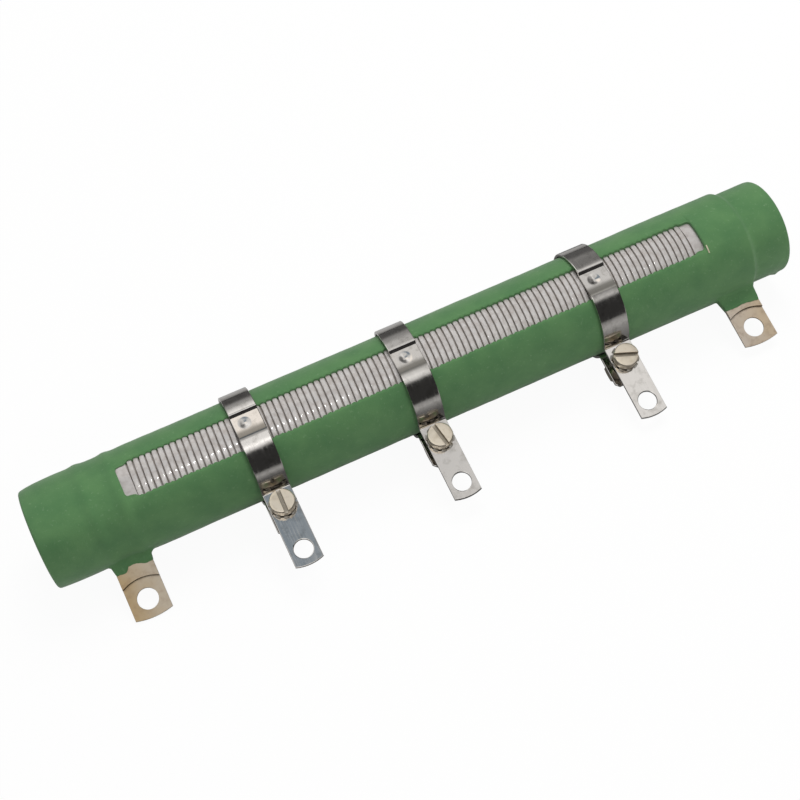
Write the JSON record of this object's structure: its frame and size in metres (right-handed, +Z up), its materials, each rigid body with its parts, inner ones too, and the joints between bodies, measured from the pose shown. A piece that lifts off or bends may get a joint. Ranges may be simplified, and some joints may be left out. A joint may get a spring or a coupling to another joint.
{
  "type": "adjustable tapped wirewound tube resistor",
  "caption": "Tubular wirewound power resistor with a long bare window, two lug terminals and sliding clamp taps with screws.",
  "frame": {"origin": "on the tube's axis at mid length", "axes": "+X along the tube, +Z up; the lugs point forwards along -Y and a little down, as the tube lies at rest"},
  "size_m": [0.224, 0.0541, 0.032],
  "materials": {
    "ceramic": "unglazed steatite",
    "wire": "drawn resistance wire, slightly oxidised",
    "cement": "matt fired green cement",
    "tinned_strap": "tarnished nickel plate",
    "plated_strip": "bright nickel plate",
    "plated_screw": "bright nickel plate",
    "plated_washer": "plated spring steel"
  },
  "bodies": {
    "root": {"ceramic_tube": "ceramic", "resistance_winding": "wire", "cement_coating": "cement", "terminal_left": "tinned_strap", "terminal_right": "tinned_strap"},
    "tap_left": {"tap_left_band": "plated_strip", "tap_left_screw": "plated_screw", "tap_left_washer": "plated_washer", "tap_left_nut": "plated_screw"},
    "tap_middle": {"tap_middle_band": "plated_strip", "tap_middle_screw": "plated_screw", "tap_middle_washer": "plated_washer", "tap_middle_nut": "plated_screw"},
    "tap_right": {"tap_right_band": "plated_strip", "tap_right_screw": "plated_screw", "tap_right_washer": "plated_washer", "tap_right_nut": "plated_screw"}
  },
  "joints": [
    {"name": "tap_left_slide", "type": "slide", "parent": "root", "child": "tap_left", "axis": [1, 0, 0], "range_m": [-0.0315, 0.0186]},
    {"name": "tap_middle_slide", "type": "slide", "parent": "root", "child": "tap_middle", "axis": [1, 0, 0], "range_m": [-0.0186, 0.0241]},
    {"name": "tap_right_slide", "type": "slide", "parent": "root", "child": "tap_right", "axis": [1, 0, 0], "range_m": [-0.0241, 0.028]}
  ]
}
